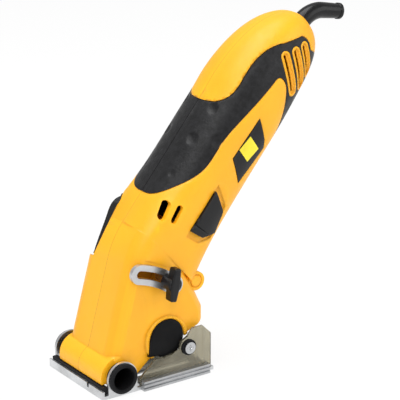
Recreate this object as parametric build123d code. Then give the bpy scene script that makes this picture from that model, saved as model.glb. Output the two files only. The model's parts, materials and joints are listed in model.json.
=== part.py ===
from build123d import *
import os
from functools import cache
from math import acos, atan2, cos, hypot, pi, radians, sin, tan

# Mini circular saw with a plunging body, in millimetres.
# Origin: centre of the sole's underside. +X runs from the nose to the handle, -Y is the near side with the
# dust port and the depth knob, +Z is up. The body stands in its raised position.

# Sole, rails and guards
SOLE_LENGTH = 93.0
SOLE_WIDTH = 72.0
SOLE_THICKNESS = 2.5
FLANGE_HEIGHT = 6.0
FLANGE_THICKNESS = 1.5
SIDE_STRIP = 2.0
WINDOW_REAR = -14.0
SLOT_FRONT = -11.0
SLOT_REAR = 40.0
SLOT_SIDE_CLEARANCE = 3.0
KERF_NOTCH = 2.4
RAIL_WIDTH = 4.0
RAIL_HEIGHT = 7.0
RAIL_FRONT = -15.0
RAIL_REAR = 41.0
RAIL_GROOVE = 1.0
GUARD_THICKNESS = 1.8
GUARD_FRONT_HEIGHT = 8.5
GUARD_LAP = 0.6
GUARD_DIP = ((4.9, 19.3), (11.3, 20.2), (17.2, 22.3), (19.2, 28.0))
GUARD_RISE_X = 24.3
GUARD_TOP = ((28.8, 36.0), (37.3, 35.9), (43.7, 29.4))
GUARD_REAR = 44.1
GUARD_RIBS = (31.4, 37.4)
GUARD_RIB_WIDTH = 1.2
GUARD_RIB_PROUD = 0.7
GUIDE_X = 24.3
GUIDE_Z = 23.0
GUIDE_COLLAR_RADIUS = 5.75
GUIDE_COLLAR_HEIGHT = 2.0
GUIDE_HEAD_RADIUS = 4.3
GUIDE_HEAD_HEIGHT = 1.5
GUIDE_SHANK_RADIUS = 2.0

# Hinge tube, which is also the dust port
HINGE_X = -30.0
HINGE_Z = 12.5
TUBE_RADIUS = 9.6
TUBE_BORE_RADIUS = 7.0
PORT_RADIUS = 8.0
PORT_DEPTH = 15.5
PORT_OVERHANG = 1.5
PORT_RIM_RADIUS = 11.0
EAR_RADIUS = 11.8
DUST_WINDOW_HALF = 20.0
DUST_WINDOW_ANGLES = (-10.0, 80.0)
CAP_RADIUS = 11.0
CAP_THICKNESS = 1.5
CAP_PLUG = 6.0
SEAL_DEPTH = 3.8
SEAL_BOTTOM = 1.0
SEAL_TOP = 8.2

# Depth setting
DEPTH_RADIUS = 73.5
KNOB_ANGLE = 58.0
SLOT_ANGLES = (52.0, 76.5)
BOLT_RADIUS = 2.5
BOLT_END = 40.0
SLOT_CLEARANCE = 0.3
ARM_THICKNESS = 3.0
ARM_HALF_WIDTH = 7.0
LINK_THICKNESS = 2.0
LINK_FACE = 20.0
LINK_HALF_WIDTH = 4.2
LINK_END_RADIUS = 3.9
SADDLE_RADIUS = 13.9
SADDLE_ANGLES = (-20.0, 78.0)
KNOB_GAP = 0.3
KNOB_HUB_RADIUS = 5.4
KNOB_THICKNESS = 11.5
KNOB_NECK = 3.5
WING_LENGTH = 24.0
WING_WIDTH = 7.5
WING_TIP_WIDTH = 5.0
WING_TURN = 80.0
WING_ROUND = 1.5

# Saw body
BODY_HALF_WIDTH = 31.0
WALL = 2.6
HEAD_FRONT_FOOT = (-43.8, -4.0)
HEAD_REAR_TOP = (45.3, 46.5)
HEAD_CORNER = 13.0
RIDGE_BLEND = 14.0
WAIST = 4.0
BARREL_RADIUS = 14.2
BARREL_NEAR = 31.5
BARREL_FAR = 25.5
BARREL_RING = 8.0
LIP_Z = 8.8
LIP_REAR = -16.3
EDGE_TIP = (-3.3, 19.3)
EDGE_REAR = (38.5, 35.8)
PAD_FACE = 30.2
PAD_RADIUS = 83.0
LUG_X = 38.5
LUG_Z = 66.0
LUG_RADIUS = 7.0
LUG_SPAN = (16.0, 26.0)
LUG_GROOVE_RADIUS = 5.0
LUG_GROOVE = 0.9
PARTITION_FACE = 17.4
PARTITION_THICKNESS = 1.8
PARTITION_BOTTOM = 61.0
PARTITION_RADIUS = 81.0
COLLAR_RADIUS = 17.4
COLLAR_WIDTH = 2.5
COLLAR_HEIGHT = 2.0
COVER_CENTRE = (9.0, 31.8)
COVER_RADIUS = 14.0
COVER_CORNER = ((-6.1, 20.8), (9.0, 19.4), (9.0, 31.8), (-5.0, 31.8))
COVER_THICKNESS = 3.0
COVER_ROUND = 1.6
COVER_GAP = 0.3
COVER_HOLE_RADIUS = 12.0

# Handle
HANDLE_START = (10.1, 80.4)
HANDLE_TILT = 50.6
HANDLE_HEIGHT = 64.0
HANDLE_WIDTH = 60.0
HANDLE_STRAIGHT = 148.0
BEND_RADIUS = 110.0
BEND_TURN = 12.0
DOME_START = 125.0
DOME_LENGTH = 84.0
DOME_POWER = 2.5
DOME_SHARES = (0.0, 0.35, 0.6, 0.8, 0.92, 0.985)
NECK_RINGS = ((26.0, 4.0, 3.1), (42.0, 3.0, 2.7))
HANDLE_RINGS = (75.0, 105.0)
CAP_SQUARENESS = (5.4, 4.6)
HANDLE_SQUARENESS = 2.6
SKIN = 1.4
GROOVE = 0.5
GRIP_LOWER = ((4, 126), (15, 134), (27, 139.5), (44, 148), (60, 165.5), (75, 178.6), (104, 202))
GRIP_TIP = ((104, 202), (109.5, 203.6), (113.4, 199), (114.4, 190), (113.4, 178), (109, 158))
GRIP_BELLY = ((109, 158), (125, 150), (170, 195), (152, 212), (141.2, 217.5))
GRIP_REAR = ((141.2, 217.5), (139.4, 224.5), (133.4, 228.6))
GRIP_TOP = ((133.4, 228.6), (115.2, 226.2))
GRIP_RIDGE = ((115.2, 226.2), (106.6, 224.9), (98, 221), (85, 210.3), (70.7, 194.8), (65, 191.4), (59, 189.8))
GRIP_OUTSIDE = ((59, 189.8), (52, 195), (0, 135), (4, 126))
GRIP_SEAM = 0.4
DIMPLE_RADIUS = 10.0
DIMPLE_DEPTH = 1.1
DIMPLES = ((113.5, 29.2, 16.2), (88.0, 29.8, 14.8), (94.5, 18.3, 27.0), (60.0, 30.4, 15.8))
RIM_WIDTH = 8.0
VENT_FLOOR_WIDTH = 5.4
VENT_WIDTH = 2.2
REAR_VENTS = ((118.0, 204.7, 34.0, -76.7), (128.0, 206.6, 33.5, -77.7), (136.5, 211.5, 27.5, -79.5))
HEAD_VENTS = ((12.2, 123.5, 14.4, 53.0, 5.0), (20.0, 120.1, 13.8, 53.0, 4.4))
BADGE_LIFT = 0.3
BADGE_DEPTH = 1.0
PANEL_LIFT = 0.2
BADGE_PANEL = ((72.3, 157.6), (79.7, 147.7), (89.8, 155.3), (81.8, 165.8))
BADGE = ((67.3, 152.1), (73.0, 133.2), (95.7, 154.1), (95.4, 160.5), (90.1, 177.1))
SLEEVE_ROOT_RADIUS = 6.6
SLEEVE_END_RADIUS = 5.4
SLEEVE_LIP = 0.6
SLEEVE_BORE_RADIUS = 3.75
SLEEVE_BEND_RADIUS = 22.0
SLEEVE_TURN = 48.0
SLEEVE_LEAD = 2.0
SLEEVE_TAIL = 16.0
SLEEVE_COLLAR_RADIUS = 8.0
SLEEVE_COLLAR = 2.0
SLEEVE_SETBACK = 1.0
SCREW_PLACES = ((33.5, 54.0), (29.6, 142.0), (122.4, 182.4), (99.5, 220.3))
SCREW_RADIUS = 1.5
SCREW_HEAD_RADIUS = 2.8
SCREW_HEAD_HEIGHT = 2.2
SCREW_LENGTH = 18.0
SCREW_SEAT = 10.0
BOSS_RADIUS = 3.6

# Slide switch and lock lever
SWITCH = ((30.1, 106.4), (39.8, 99.8), (52.1, 100.2), (58.6, 114.6), (51.9, 131.2))
SWITCH_TRAVEL = 4.5
SWITCH_LIFT = 1.6
SWITCH_BED = 1.6
SWITCH_GAP = 0.5
SEAM_START = 38.0
SEAM_WIDTH = 0.7
SEAM_DEPTH = 0.9
STEM_START = 39.5
STEM_LENGTH = 3.5
FOOT_START = 30.5
FOOT_THICKNESS = 4.0
STEM_LOW = -10.0
STEM_HIGH = -4.0
STEM_FACE = 20.5
BLOCK_FRONT = 4.0
BLOCK_REAR = 25.5
BLOCK_LOW = -14.0
BLOCK_NEAR_FACE = 24.6
BLOCK_FAR_FACE = 12.0
POST_RADIUS = 2.5
LEVER_POS = (-2.7, 23.0, 103.3)
LEVER_TILT = 58.0
LEVER_OUT = (-0.66, 0.62, 0.41)
LEVER_LENGTH = 42.0
LEVER_WIDTH = 12.0
LEVER_CROWN = ((16.0, 3.8), (4.0, 3.6), (-10.0, 2.2))
LEVER_TIP = 1.0
LEVER_SKIRT = 3.0
LEVER_GAP = 0.5
SEAT_MARGIN = 4.0
FRAME_WIDTH = 2.0
FRAME_PROUD = 0.8
FRAME_DEPTH = 4.0
PIN_RADIUS = 1.2
PIN_INSET = 4.0
PIN_DROP = 1.0

# Drive
ARBOR_X = 9.4
ARBOR_Z = 30.5
MOTOR_TILT = 66.5
BLADE_RADIUS = 27.4
BLADE_THICKNESS = 1.2
BLADE_BORE_RADIUS = 5.5
BLADE_FACE = 15.8
BLADE_TEETH = 24
BLADE_GULLET = 2.6
FLANGE_RADIUS = 9.0
INNER_FLANGE_FACE = 13.3
OUTER_FLANGE_THICKNESS = 2.5
BLADE_SCREW_RADIUS = 2.5
BLADE_SCREW_HEAD_RADIUS = 4.6
BLADE_SCREW_HEAD_HEIGHT = 4.0
BLADE_SCREW_LENGTH = 10.0
GEAR_MODULE = 0.9
PINION_TEETH = 14
WHEEL_TEETH = 25
GEAR_FACE = 4.0
GEAR_BACKLASH = 0.3
PRESSURE_ANGLE = 20.0
WHEEL_HUB_RADIUS = 7.0
PINION_HUB_END = 14.0
SPIGOT_RADIUS = 2.5
SHAFT_RADIUS = 4.0
BEARING_RADIUS = 9.5
BEARING_WIDTH = 6.0
RUNNING_CLEARANCE = 0.04
CASE_RADIUS = 13.6
CASE_WALL = 1.3
CASE_NEAR_FACE = 13.0
CASE_FAR_FACE = 12.0
CASE_LIP = 0.5
NECK_RADIUS = 11.5
NECK_END = 24.0
NECK_HOLE_RADIUS = 8.0
COVER_DEPTH = 7.5
COVER_POST_ANGLES = (30.0, 90.0, 150.0)
COVER_POST_RING = 10.0
MOTOR_BEARING_START = 16.0
FAN_START = 80.0
FAN_RADIUS = 19.0
FAN_WIDTH = 10.0
FAN_BLADES = 10
FAN_PLATE = 1.5
STATOR_START = 100.0
STATOR_LENGTH = 34.0
STATOR_RADIUS = 20.5
ARMATURE_RADIUS = 12.0
AIR_GAP = 0.5
COIL_END = 6.0
COIL_GAP = 0.2
COIL_RADII = (13.5, 18.5)
COIL_ANGLES = (43.0, 57.0)
WINDING_RADIUS = 11.0
BRUSH_RIB = 2.5
COMMUTATOR_RADIUS = 9.0
COMMUTATOR_LENGTH = 11.0
COMMUTATOR_BARS = 12
BRUSH_WIDTH = 6.0
BRUSH_HEIGHT = 5.0
BRUSH_LENGTH = 11.0
BRUSH_CLEARANCE = 0.1
HOLDER_WALL = 1.2
HOLDER_INNER = 11.0
HOLDER_OUTER = 24.5
UPPER_BEARING_START = 157.0
RIB_THICKNESS = 2.5
RIB_STARTS = (103.0, 128.0)
FIT_CLEARANCE = 0.05

REACH = 400.0
MOTOR_DIR = (cos(radians(MOTOR_TILT)), 0.0, sin(radians(MOTOR_TILT)))
MOTOR = Plane(origin=(ARBOR_X, 0, ARBOR_Z), x_dir=(0, 1, 0), z_dir=MOTOR_DIR).location
WHEEL = Plane(origin=(ARBOR_X, 0, ARBOR_Z), x_dir=MOTOR_DIR, z_dir=(0, 1, 0)).location
LEVER_DIR = (cos(radians(LEVER_TILT)), 0.0, sin(radians(LEVER_TILT)))
LEVER = Plane(origin=LEVER_POS, x_dir=LEVER_DIR, z_dir=LEVER_OUT).location
KNOB_X = HINGE_X + DEPTH_RADIUS * cos(radians(KNOB_ANGLE))
KNOB_Z = HINGE_Z + DEPTH_RADIUS * sin(radians(KNOB_ANGLE))
SOLE_HALF = SOLE_WIDTH / 2
EAR_INNER = SOLE_HALF - SIDE_STRIP
ARM_FACE = PAD_FACE + ARM_THICKNESS
BLADE_OUTER = BLADE_FACE + BLADE_THICKNESS
FLANGE_OUTER = BLADE_OUTER + OUTER_FLANGE_THICKNESS
STATOR_END = STATOR_START + STATOR_LENGTH
COMMUTATOR_START = STATOR_END + COIL_END + 1.0
BRUSH_CENTRE = STATOR_END + COIL_END + BRUSH_RIB + HOLDER_WALL + BRUSH_WIDTH / 2
COVER_FACE = CASE_FAR_FACE + COVER_DEPTH


def across(profile, y_from, y_to):
    """Solid with this side view, from one Y to another."""
    return Pos(0, y_to, 0) * extrude(Plane.XZ * profile, y_to - y_from)


def rod_y(x, z, radius, y_from, y_to):
    """Round bar along Y."""
    return across(Pos(x, z) * Circle(radius), y_from, y_to)


def ring_y(x, z, outer, inner, y_from, y_to):
    """Ring along Y."""
    return across(Pos(x, z) * (Circle(outer) - Circle(inner)), y_from, y_to)


def block(x_from, x_to, y_from, y_to, z_from, z_to):
    """Box between two corners."""
    corner = Pos(x_from, y_from, z_from)
    return corner * Box(x_to - x_from, y_to - y_from, z_to - z_from, align=(Align.MIN, Align.MIN, Align.MIN))


def outline(points):
    """Flat face with straight edges."""
    return make_face(Polyline(*points, close=True))


def far_side(solid):
    """The same solid on the far side."""
    return mirror(solid, about=Plane.XZ)


def one_side(side):
    """Everything on the near (-1) or the far (1) side of the middle plane."""
    return Pos(0, side * REACH / 2, 0) * Box(2 * REACH, REACH, 2 * REACH)


def sector(inner, outer, start, end):
    """Flat piece of a ring between two angles."""
    wedge = [(0, 0)]
    for step in range(5):
        angle = radians(start + (end - start) * step / 4)
        wedge.append((2 * outer * cos(angle), 2 * outer * sin(angle)))
    return (Circle(outer) - Circle(inner)) & outline(wedge)


def hinge_arc_slot(half_width, y_from, y_to):
    """Curved slot round the hinge in which the depth bolt travels."""
    sweep_angle = SLOT_ANGLES[1] - SLOT_ANGLES[0]
    path = CenterArc((HINGE_X, HINGE_Z), DEPTH_RADIUS, SLOT_ANGLES[0], sweep_angle)
    return across(SlotArc(path, 2 * half_width), y_from, y_to)


def long_slot(x, z, length, width, angle):
    """Slot with round ends right through the body."""
    return across(Pos(x, z) * Rot(0, 0, angle) * SlotOverall(length, width), -REACH / 4, REACH / 4)


def motor_rod(radius, start, end):
    """Round bar along the motor's axis."""
    return MOTOR * Pos(0, 0, start) * extrude(Circle(radius), end - start)


def motor_ring(outer, inner, start, end):
    """Ring along the motor's axis."""
    return MOTOR * Pos(0, 0, start) * extrude(Circle(outer) - Circle(inner), end - start)


def handle_box(d_from, d_to, u_from, u_to, y_from, y_to):
    """Box along the handle: distance from its start, height over its middle line, and Y."""
    x, z = HANDLE_START
    frame = Pos(x, 0, z) * Rot(0, -HANDLE_TILT, 0)
    return frame * block(d_from, d_to, y_from, y_to, u_from, u_to)


def spine(distance):
    """Place and direction of the handle's middle line, at a distance from its start."""
    angle = radians(HANDLE_TILT)
    straight = min(distance, HANDLE_STRAIGHT)
    x = HANDLE_START[0] + straight * cos(angle)
    z = HANDLE_START[1] + straight * sin(angle)
    bend_length = BEND_RADIUS * radians(BEND_TURN)
    bent = min(max(distance - HANDLE_STRAIGHT, 0.0), bend_length)
    end_angle = angle - bent / BEND_RADIUS
    x += BEND_RADIUS * (sin(angle) - sin(end_angle))
    z += BEND_RADIUS * (cos(end_angle) - cos(angle))
    rest = max(distance - HANDLE_STRAIGHT - bend_length, 0.0)
    return x + rest * cos(end_angle), z + rest * sin(end_angle), end_angle


def ring_wire(x, z, angle, half_height, half_width, squareness, lower_squareness):
    """Closed superellipse across a line in the middle plane, with its own squareness below that line."""
    points = []
    steps = 28
    for step in range(steps):
        turn = 2 * pi * step / steps
        c, s = cos(turn), sin(turn)
        power = 2 / (squareness if c >= 0 else lower_squareness)
        up = half_height * abs(c) ** power * (1 if c >= 0 else -1)
        side = half_width * abs(s) ** power * (1 if s >= 0 else -1)
        points.append(Vector(x - up * sin(angle), side, z + up * cos(angle)))
    return Wire([Edge.make_spline(points, periodic=True)])


@cache
def handle_form(grow):
    """The handle's rounded form, grown or shrunk evenly."""
    rings = []
    high = HANDLE_HEIGHT / 2 + grow
    wide = HANDLE_WIDTH / 2 + grow
    overlap = grow - 1.0 if grow < 0 else 0.0
    slant = atan2(RIDGE_BLEND - WAIST, HANDLE_HEIGHT)
    x, z, angle = spine((RIDGE_BLEND + WAIST) / 2 + overlap)
    rings.append(ring_wire(x, z, angle - slant, high / cos(slant), BODY_HALF_WIDTH + grow, *CAP_SQUARENESS))
    for distance, upper, lower in NECK_RINGS:
        x, z, angle = spine(distance)
        rings.append(ring_wire(x, z, angle, high, BODY_HALF_WIDTH + grow, upper, lower))
    for distance in HANDLE_RINGS:
        x, z, angle = spine(distance)
        rings.append(ring_wire(x, z, angle, high, wide, HANDLE_SQUARENESS, HANDLE_SQUARENESS))
    for share in DOME_SHARES:
        x, z, angle = spine(DOME_START + share * (DOME_LENGTH + grow))
        factor = (1 - share ** DOME_POWER) ** (1 / DOME_POWER)
        ring = ring_wire(x, z, angle, high * factor, wide * factor, HANDLE_SQUARENESS, HANDLE_SQUARENESS)
        rings.append(ring)
    return Solid.make_loft(rings)


@cache
def head_form(grow):
    """The head's box with rounded corners, grown or shrunk evenly."""
    half = HANDLE_HEIGHT / 2
    ridge = handle_point(0, half)
    rise = (ridge[0] - HEAD_FRONT_FOOT[0], ridge[1] - HEAD_FRONT_FOOT[1])
    share = 1 - RIDGE_BLEND / hypot(*rise)
    bend_start = (HEAD_FRONT_FOOT[0] + share * rise[0], HEAD_FRONT_FOOT[1] + share * rise[1])
    bend_end = handle_point(RIDGE_BLEND, half)
    foot = (HEAD_REAR_TOP[0], HEAD_FRONT_FOOT[1])
    waist = handle_point(WAIST, -half)
    straight = Polyline(bend_end, waist, HEAD_REAR_TOP, foot, HEAD_FRONT_FOOT, bend_start)
    side = make_face([straight, TangentArc(bend_start, bend_end, tangent=rise)])
    side = offset(side, grow, kind=Kind.INTERSECTION) if grow else side
    wide = BODY_HALF_WIDTH + grow
    box = across(side, -wide, wide)
    long_edges = [e for e in box.edges() if abs(e.center().Y) > wide - 0.1]
    front = [e for e in long_edges if e.center().X < 0 and e.center().Z > 10]
    rear = [e for e in long_edges if e.center().X > 38]
    return fillet(front + rear, HEAD_CORNER + min(grow, 0))


def skin(prism, lift, depth):
    """Layer of the handle's surface inside a prism."""
    return (handle_form(lift) & prism) - handle_form(-depth)


def edge_height(x):
    """Height of the body's lower side edge."""
    rise = (EDGE_REAR[1] - EDGE_TIP[1]) / (EDGE_REAR[0] - EDGE_TIP[0])
    return EDGE_TIP[1] + rise * (x - EDGE_TIP[0])


def kept_region():
    """Everything over the body's lower edge."""
    edge = [(-REACH, LIP_Z), (LIP_REAR, LIP_Z), EDGE_TIP, EDGE_REAR, (REACH / 2, edge_height(REACH / 2))]
    return across(outline(edge + [(REACH / 2, REACH), (-REACH, REACH)]), -REACH / 4, REACH / 4)


def grown(points, distance):
    """Corners of a closed outline, listed anticlockwise, moved outward."""
    moved = []
    for index, (x, z) in enumerate(points):
        back_x, back_z = points[index - 1]
        next_x, next_z = points[(index + 1) % len(points)]
        enter = atan2(z - back_z, x - back_x)
        leave = atan2(next_z - z, next_x - x)
        turn = (leave - enter + pi) % (2 * pi) - pi
        normal = enter + turn / 2 - pi / 2
        reach = distance / cos(turn / 2)
        moved.append((x + reach * cos(normal), z + reach * sin(normal)))
    return moved


def grip_face(grow):
    """Side view of the soft grip and its rear panel, grown evenly."""
    parts = (GRIP_LOWER, GRIP_TIP, GRIP_BELLY, GRIP_REAR, GRIP_TOP, GRIP_RIDGE, GRIP_OUTSIDE)
    ring = grown([point for part in parts for point in part[:-1]], grow)
    ring.append(ring[0])
    lines = []
    start = 0
    for part in parts:
        points = ring[start:start + len(part)]
        straight = part in (GRIP_BELLY, GRIP_TOP, GRIP_OUTSIDE)
        lines.append(Polyline(*points) if straight else Spline(*points))
        start += len(part) - 1
    return make_face(lines)


def rear_slots(width):
    """The rear panel's slots, all with the same extra width round the vents."""
    slots = Part()
    for x, z, length, angle in REAR_VENTS:
        slots += long_slot(x, z, length - RIM_WIDTH + width, width, angle)
    return slots


def switch_prism(extra, travel):
    """Side view of the slide switch through the near side, grown and lengthened along its travel."""
    face = outline(grown(SWITCH, extra))
    if travel:
        x, z = travel * cos(radians(HANDLE_TILT)), travel * sin(radians(HANDLE_TILT))
        face = make_hull((Pos(x, z) * face).edges() + (Pos(-x, -z) * face).edges())
    return across(face, -REACH / 4, 0)


def lever_block(length, width, bottom, top):
    """Rounded block in the lock lever's own frame."""
    return LEVER * Pos(0, 0, bottom) * extrude(SlotOverall(length, width), top - bottom)


def lever_seat(depth):
    """Space over the lock lever's flat seat, starting this far below it."""
    floor = Rectangle(LEVER_LENGTH + 2 * SEAT_MARGIN, HANDLE_WIDTH)
    return LEVER * Pos(0, 0, -depth) * extrude(floor, REACH / 10)


def motor_rib(start, thickness, hole):
    """Wall across the motor's axis, joined to both housing halves."""
    slab = motor_rod(REACH / 4, start, start + thickness) - motor_rod(hole, start - 1, start + thickness + 1)
    return slab & handle_form(-WALL + 0.4)


def screw_boss(x, z, side):
    """Boss for a housing screw in one half."""
    form = handle_form(-WALL + 0.4) if z > HANDLE_START[1] else head_form(-WALL + 0.4)
    return rod_y(x, z, BOSS_RADIUS, min(side * REACH / 4, 0), max(side * REACH / 4, 0)) & form


def common_shell():
    """Both housing halves as one hollow form, before the split."""
    shell = head_form(0) + handle_form(0) - lever_seat(0)
    for inside in (head_form(-WALL), handle_form(-WALL)):
        shell -= inside - lever_seat(WALL)
    near_inner = BARREL_RING - BARREL_NEAR
    far_inner = BARREL_FAR - BARREL_RING
    middle = rod_y(HINGE_X, HINGE_Z, BARREL_RADIUS, near_inner, far_inner) - head_form(-WALL)
    near_ring = rod_y(HINGE_X, HINGE_Z, BARREL_RADIUS, -BARREL_NEAR, near_inner)
    far_ring = rod_y(HINGE_X, HINGE_Z, BARREL_RADIUS, far_inner, BARREL_FAR)
    lug = rod_y(LUG_X, LUG_Z, LUG_RADIUS, -LUG_SPAN[1], -LUG_SPAN[0])
    groove_floor = LUG_GROOVE - LUG_SPAN[1]
    groove_inner = LUG_GROOVE_RADIUS - LUG_GROOVE
    lug -= ring_y(LUG_X, LUG_Z, LUG_GROOVE_RADIUS, groove_inner, -REACH / 4, groove_floor)
    shell = shell + middle + near_ring + far_ring + lug + far_side(lug)
    for start in RIB_STARTS:
        shell += motor_rib(start, RIB_THICKNESS, STATOR_RADIUS + FIT_CLEARANCE)
    shell += motor_rib(STATOR_END + COIL_END, BRUSH_RIB, COMMUTATOR_RADIUS + 3)
    shell += motor_rib(UPPER_BEARING_START, BEARING_WIDTH, BEARING_RADIUS)
    shell = shell & kept_region()
    shell -= rod_y(HINGE_X, HINGE_Z, TUBE_RADIUS + FIT_CLEARANCE, -REACH / 4, REACH / 4)
    recess = skin(across(grip_face(GROOVE), -REACH / 4, REACH / 4), 1.0, SKIN)
    rims = rear_slots(RIM_WIDTH) - rear_slots(VENT_FLOOR_WIDTH)
    shell = shell - (recess - rims) - rear_slots(VENT_WIDTH)
    for x, z, length, angle, width in HEAD_VENTS:
        shell -= long_slot(x, z, length, width, angle)
    return shell - sleeve_rod(SLEEVE_ROOT_RADIUS + FIT_CLEARANCE)


def housing_near(shell):
    """Near yellow half with the depth pad, the switch bed and the badge bed."""
    half = shell & one_side(-1)
    half -= rod_y(HINGE_X, HINGE_Z, PAD_RADIUS, -REACH / 4, -PAD_FACE)
    collar_face = Pos(ARBOR_X, ARBOR_Z) * (Circle(COLLAR_RADIUS) - Circle(COLLAR_RADIUS - COLLAR_WIDTH))
    collar = across(collar_face - cover_face(COVER_GAP), -PAD_FACE - COLLAR_HEIGHT, -PAD_FACE + 0.7)
    half += collar & kept_region()
    half -= rod_y(ARBOR_X, ARBOR_Z, COVER_HOLE_RADIUS, -REACH / 4, -BODY_HALF_WIDTH + WALL + 1)
    half -= hinge_arc_slot(BOLT_RADIUS + SLOT_CLEARANCE + 0.1, -REACH / 4, -LINK_FACE)
    wall = rod_y(HINGE_X, HINGE_Z, PARTITION_RADIUS, -PARTITION_FACE - PARTITION_THICKNESS, -PARTITION_FACE)
    half += wall & head_form(-WALL + 0.4) & block(-REACH, REACH, -REACH, 0, PARTITION_BOTTOM, REACH)
    for x, z in SCREW_PLACES:
        half += screw_boss(x, z, -1)
        half -= rod_y(x, z, SCREW_RADIUS, SCREW_SEAT - SCREW_LENGTH, 0.5)
    half -= skin(switch_prism(SWITCH_GAP, SWITCH_TRAVEL), SWITCH_LIFT + 1, SWITCH_BED)
    stem_low = STEM_LOW - SWITCH_GAP
    stem_start = STEM_START - SWITCH_TRAVEL - SWITCH_GAP
    stem_end = STEM_START + STEM_LENGTH + SWITCH_GAP
    half -= handle_box(stem_start, stem_end, stem_low, STEM_HIGH + SWITCH_GAP, -REACH / 4, -STEM_FACE)
    for distance in (BLOCK_FRONT + POST_RADIUS, BLOCK_REAR - 2 * POST_RADIUS):
        x, z = handle_point(distance, (BLOCK_LOW - POST_RADIUS) / 2)
        half += rod_y(x, z, POST_RADIUS, -BODY_HALF_WIDTH + WALL - 0.5, -BLOCK_NEAR_FACE)
    badge_bed = across(outline(grown(BADGE, GROOVE)), -REACH / 4, 0)
    return half - skin(badge_bed, BADGE_LIFT + 1, BADGE_DEPTH)


def handle_point(distance, up):
    """Side view place of a point beside the handle's middle line."""
    c, s = cos(radians(HANDLE_TILT)), sin(radians(HANDLE_TILT))
    return HANDLE_START[0] + distance * c - up * s, HANDLE_START[1] + distance * s + up * c


def housing_far(shell):
    """Far yellow half with the lock lever's opening and the gear cover's posts."""
    half = shell & one_side(1)
    for x, z in SCREW_PLACES:
        half += screw_boss(x, z, 1)
        half -= rod_y(x, z, SCREW_RADIUS + 0.2, -0.5, SCREW_SEAT + 1)
        half -= rod_y(x, z, SCREW_HEAD_RADIUS + 0.3, SCREW_SEAT, REACH / 4)
    for angle in COVER_POST_ANGLES:
        x = ARBOR_X + COVER_POST_RING * cos(radians(angle))
        z = ARBOR_Z + COVER_POST_RING * sin(radians(angle))
        half += rod_y(x, z, POST_RADIUS, COVER_FACE, BODY_HALF_WIDTH - WALL + 0.5)
    return half - frame_block(LEVER_GAP + FRAME_WIDTH, -3 * FRAME_DEPTH, REACH / 20)


def grip(side):
    """Soft grip of one half with its finger scallops and rear panel slots."""
    layer = skin(across(grip_face(0), -REACH / 4, REACH / 4), 0, SKIN)
    layer = layer & Pos(0, side * GRIP_SEAM / 2, 0) * one_side(side)
    for distance, up, out in DIMPLES:
        power = HANDLE_SQUARENESS - 1
        slope = atan2((out / HANDLE_WIDTH) ** power, (up / HANDLE_HEIGHT) ** power)
        lift = DIMPLE_RADIUS - DIMPLE_DEPTH
        x, z = handle_point(distance, up + lift * cos(slope))
        layer -= Pos(x, side * (out + lift * sin(slope)), z) * Sphere(DIMPLE_RADIUS)
    layer -= rear_slots(RIM_WIDTH + GROOVE)
    if side > 0:
        for x, z in SCREW_PLACES:
            layer -= rod_y(x, z, SCREW_HEAD_RADIUS + 0.3, 0.5, REACH / 4)
    return layer


def badge():
    """Bare name plate on the near side."""
    return skin(across(outline(BADGE), -REACH / 4, 0), BADGE_LIFT, BADGE_DEPTH)


def badge_panel():
    """Plain coloured field on the name plate."""
    return skin(across(outline(BADGE_PANEL), -REACH / 4, 0), BADGE_LIFT + PANEL_LIFT, -BADGE_LIFT)


def depth_arm():
    """Steel arm with the curved slot on the near pad."""
    arm = hinge_arc_slot(ARM_HALF_WIDTH, -ARM_FACE, -PAD_FACE)
    return arm - hinge_arc_slot(BOLT_RADIUS + SLOT_CLEARANCE, -ARM_FACE - 1, -PAD_FACE + 1)


def cover_face(grow):
    """Side view of the arbor cover: a disc with one corner, grown evenly."""
    x, z = COVER_CENTRE
    return Pos(x, z) * Circle(COVER_RADIUS + grow) + outline(grown(COVER_CORNER, grow))


def arbor_cover():
    """Cap over the blade screw."""
    near = -PAD_FACE - COVER_THICKNESS
    cap = across(cover_face(0), near, -PAD_FACE)
    cap = fillet(cap.faces().sort_by(Axis.Y)[0].edges(), COVER_ROUND)
    plug = rod_y(ARBOR_X, ARBOR_Z, COVER_HOLE_RADIUS - FIT_CLEARANCE, -PAD_FACE, -BODY_HALF_WIDTH + WALL)
    return cap + (plug & kept_region())


def sleeve_station(distance):
    """Place and direction of the cord sleeve's middle line, from the handle's end."""
    x, z, angle = spine(DOME_START + DOME_SHARES[-1] * DOME_LENGTH)
    turn = radians(SLEEVE_TURN)
    lead = min(distance, SLEEVE_LEAD)
    x += lead * cos(angle)
    z += lead * sin(angle)
    bent = min(max(distance - SLEEVE_LEAD, 0.0) / SLEEVE_BEND_RADIUS, turn)
    end_angle = angle - bent
    x += SLEEVE_BEND_RADIUS * (sin(angle) - sin(end_angle))
    z += SLEEVE_BEND_RADIUS * (cos(end_angle) - cos(angle))
    rest = max(distance - SLEEVE_LEAD - SLEEVE_BEND_RADIUS * turn, 0.0)
    return x + rest * cos(end_angle), z + rest * sin(end_angle), end_angle


def sleeve_rod(radius):
    """Straight round bar along the handle's end where the cord sleeve passes."""
    x, z, angle = sleeve_station(0)
    start = Plane(origin=(x, 0, z), x_dir=(0, 1, 0), z_dir=(cos(angle), 0, sin(angle))).location
    return start * Pos(0, 0, -WALL - SLEEVE_COLLAR - 1) * extrude(Circle(radius), WALL + SLEEVE_COLLAR + 3)


def sleeve_tube(root, end, before, beyond):
    """Bent round form that follows the cord sleeve's middle line."""
    length = SLEEVE_LEAD + SLEEVE_BEND_RADIUS * radians(SLEEVE_TURN) + SLEEVE_TAIL
    rings = []
    steps = 14
    for step in range(steps + 1):
        distance = -before + (length + before + beyond) * step / steps
        share = min(max(distance / length, 0.0), 1.0)
        x, z, angle = sleeve_station(distance)
        radius = root + (end - root) * share
        rings.append(ring_wire(x, z, angle, radius, radius, 2.0, 2.0))
    return Solid.make_loft(rings)


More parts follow.
